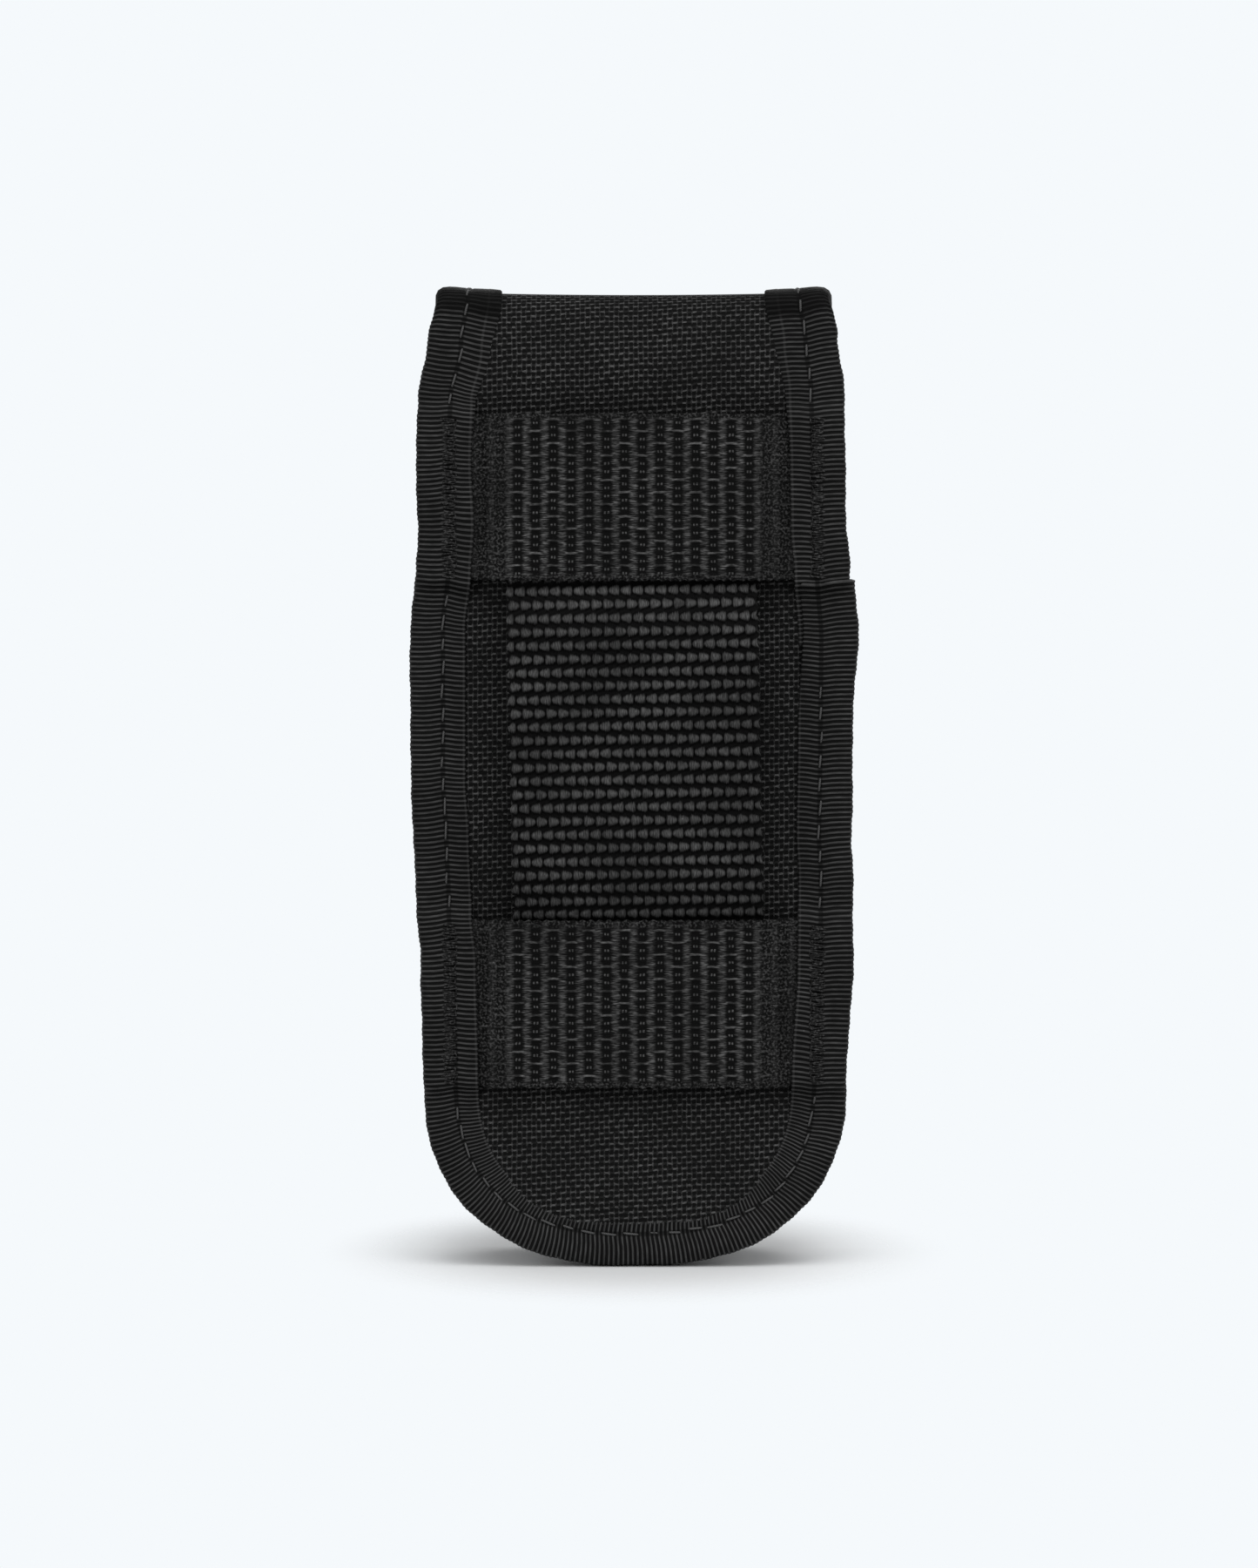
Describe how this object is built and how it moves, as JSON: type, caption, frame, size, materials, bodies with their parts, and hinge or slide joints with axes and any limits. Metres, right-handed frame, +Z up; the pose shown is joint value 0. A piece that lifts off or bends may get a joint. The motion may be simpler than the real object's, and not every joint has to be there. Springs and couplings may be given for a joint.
{
  "type": "multi-tool belt sheath",
  "caption": "Upright black nylon belt sheath for a multi tool: padded pocket with a fold-over flap, taped edges and a webbing belt loop on its back.",
  "frame": {"origin": "middle of the belt passage, half way between the back fabric and the inner face of the belt strap", "axes": "+Z up towards the flap fold, -Y out of the belt-loop side, +Y out of the flap side, +X to the right seen from the belt-loop side"},
  "size_m": [0.0678, 0.0425, 0.1495],
  "materials": {
    "ballistic_nylon": "black basket-weave ballistic nylon, matte with a faint sheen on the yarns",
    "grosgrain": "black ribbed grosgrain binding tape, satin",
    "webbing": "black heavy nylon webbing, coarse plain weave with soft highlights",
    "thread": "black bonded sewing thread",
    "elastic": "black ribbed knitted elastic, matte",
    "lining": "black plain-weave pack cloth, satin",
    "foam": "dark grey closed-cell foam sheet",
    "stiffener": "black polyethylene sheet",
    "loop": "black brushed loop pile",
    "hook": "black moulded hook tape"
  },
  "bodies": {
    "pouch": {"back_binding": "grosgrain", "back_foam": "foam", "back_lining": "lining", "back_panel_shell": "ballistic_nylon", "back_stiffener": "stiffener", "belt_strap": "webbing", "bottom_gusset": "ballistic_nylon", "front_binding": "grosgrain", "front_foam": "foam", "front_lining": "lining", "front_panel_shell": "ballistic_nylon", "gusset_left": "elastic", "gusset_right": "elastic", "loop_patch": "loop", "lower_cross_band": "webbing", "lower_left_bartack": "thread", "lower_right_bartack": "thread", "lower_strap_tack": "thread", "mouth_binding": "grosgrain", "upper_cross_band": "webbing", "upper_left_bartack": "thread", "upper_right_bartack": "thread", "upper_strap_tack": "thread"},
    "flap_top": {"flap_top_shell": "ballistic_nylon", "flap_top_foam": "foam", "flap_top_lining": "lining", "flap_top_binding_left": "grosgrain", "flap_top_binding_right": "grosgrain"},
    "flap_front": {"flap_front_shell": "ballistic_nylon", "flap_front_foam": "foam", "flap_front_lining": "lining", "flap_front_binding": "grosgrain", "hook_patch": "hook"}
  },
  "joints": [
    {"name": "flap_fold", "type": "hinge", "parent": "pouch", "child": "flap_top", "pos_m": [0, 0.0019, 0.0704], "axis": [1, 0, 0], "range_deg": [0, 170]},
    {"name": "flap_bend", "type": "hinge", "parent": "flap_top", "child": "flap_front", "pos_m": [0, 0.0379, 0.0704], "axis": [1, 0, 0], "range_deg": [0, 90]}
  ]
}
